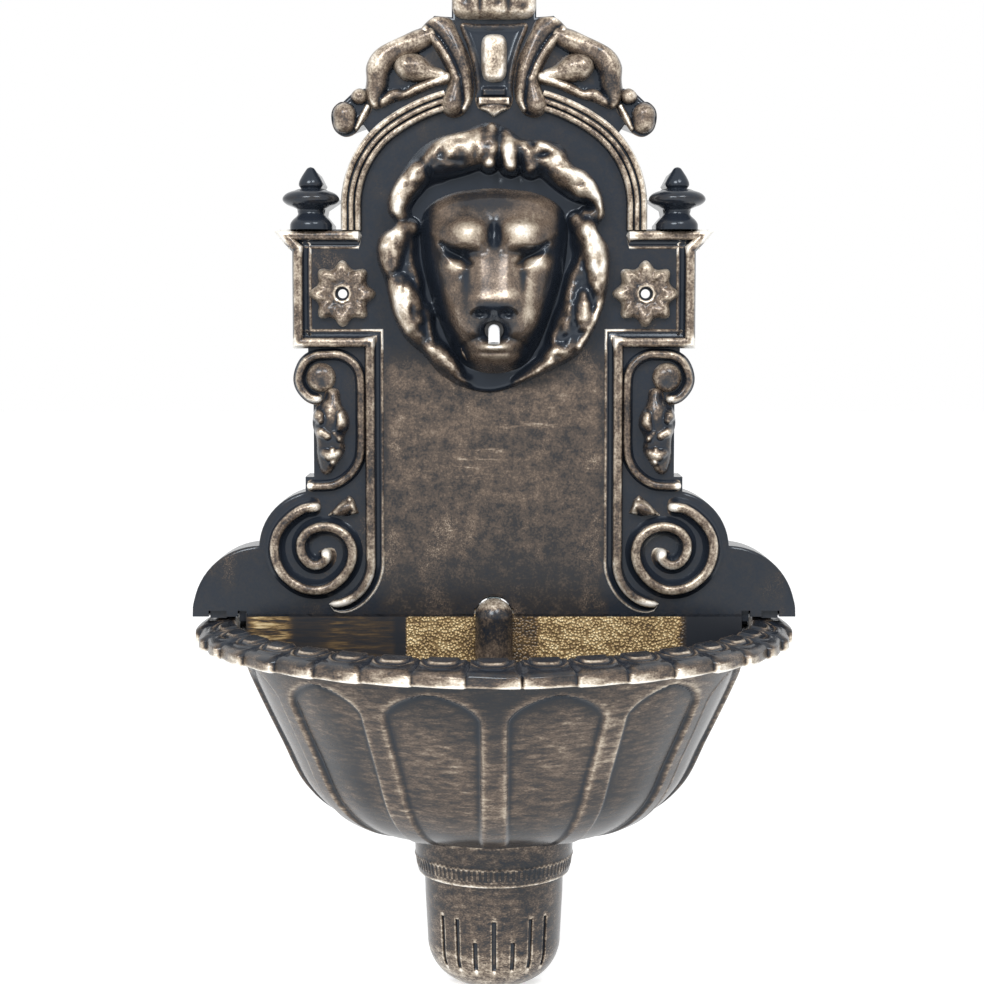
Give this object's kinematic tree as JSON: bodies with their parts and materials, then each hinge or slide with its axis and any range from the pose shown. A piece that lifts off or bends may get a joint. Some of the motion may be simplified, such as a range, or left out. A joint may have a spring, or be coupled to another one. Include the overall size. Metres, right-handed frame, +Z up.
{
  "type": "garden wall fountain",
  "caption": "Wall-hung garden fountain with an arched panel, lion mask spout, half-round lobed basin, fluted pendant and a small circulating pump.",
  "frame": {"origin": "on the wall plane, midway between the two fixing holes", "axes": "+Z up, +X to the right seen from the front, +Y into the wall, so the fountain stands out toward -Y"},
  "size_m": [0.426, 0.213, 0.708],
  "materials": {
    "bronze_resin": "blue-black resin, ridges dry-brushed with bronze",
    "hammered_gilt": "hammered gilt over black",
    "clear_hose": "soft translucent hose",
    "white_plastic": "gloss",
    "black_rubber": "matt",
    "stainless": "brushed",
    "black_plastic": "fine texture",
    "grey_plastic": "satin",
    "ferrite": "ground",
    "core_steel": "laminated",
    "copper_wire": "lacquered"
  },
  "bodies": {
    "fountain": {"arch_moulding_left": "bronze_resin", "arch_moulding_right": "bronze_resin", "back_panel": "bronze_resin", "basin_back_wall": "hammered_gilt", "basin_bowl": "bronze_resin", "basin_rim": "bronze_resin", "berries_left": "bronze_resin", "berries_right": "bronze_resin", "cabochon": "bronze_resin", "cord_gland": "black_rubber", "crest_cap": "bronze_resin", "crest_leaf_left": "bronze_resin", "crest_leaf_right": "bronze_resin", "crest_shield": "bronze_resin", "crest_strap_left": "bronze_resin", "crest_strap_right": "bronze_resin", "finial_left": "bronze_resin", "finial_right": "bronze_resin", "hook_tabs": "bronze_resin", "hose_clamps": "stainless", "hose_clips": "black_plastic", "hose_cover": "bronze_resin", "husk_left": "bronze_resin", "husk_right": "bronze_resin", "leaf_knob_left": "bronze_resin", "leaf_knob_right": "bronze_resin", "lion_face": "bronze_resin", "lion_mane": "bronze_resin", "mouth_grommet": "black_rubber", "pendant": "bronze_resin", "pendant_collar": "bronze_resin", "pump_body": "black_plastic", "pump_cover": "black_plastic", "riser_hose": "clear_hose", "rosette_left": "bronze_resin", "rosette_right": "bronze_resin", "rotor_shaft": "stainless", "scroll_eye_left": "bronze_resin", "scroll_eye_right": "bronze_resin", "shaft_bushes": "black_rubber", "side_frame_left": "bronze_resin", "side_frame_right": "bronze_resin", "small_leaf_left": "bronze_resin", "small_leaf_right": "bronze_resin", "spout_tube": "white_plastic", "stator_coil": "copper_wire", "stator_core": "core_steel", "suction_cups": "black_rubber", "upper_scroll_left": "bronze_resin", "upper_scroll_right": "bronze_resin", "volute_left": "bronze_resin", "volute_right": "bronze_resin"},
    "rotor": {"impeller": "white_plastic", "rotor_magnet": "ferrite"},
    "dial": {"flow_dial": "grey_plastic"}
  },
  "joints": [
    {"name": "impeller_spin", "type": "hinge", "parent": "fountain", "child": "rotor", "pos_m": [0.01, -0.052, -0.342], "axis": [1, 0, 0], "continuous": true},
    {"name": "flow_dial_turn", "type": "hinge", "parent": "fountain", "child": "dial", "pos_m": [-0.018, -0.052, -0.342], "axis": [1, 0, 0], "range_deg": [0, 90]}
  ]
}
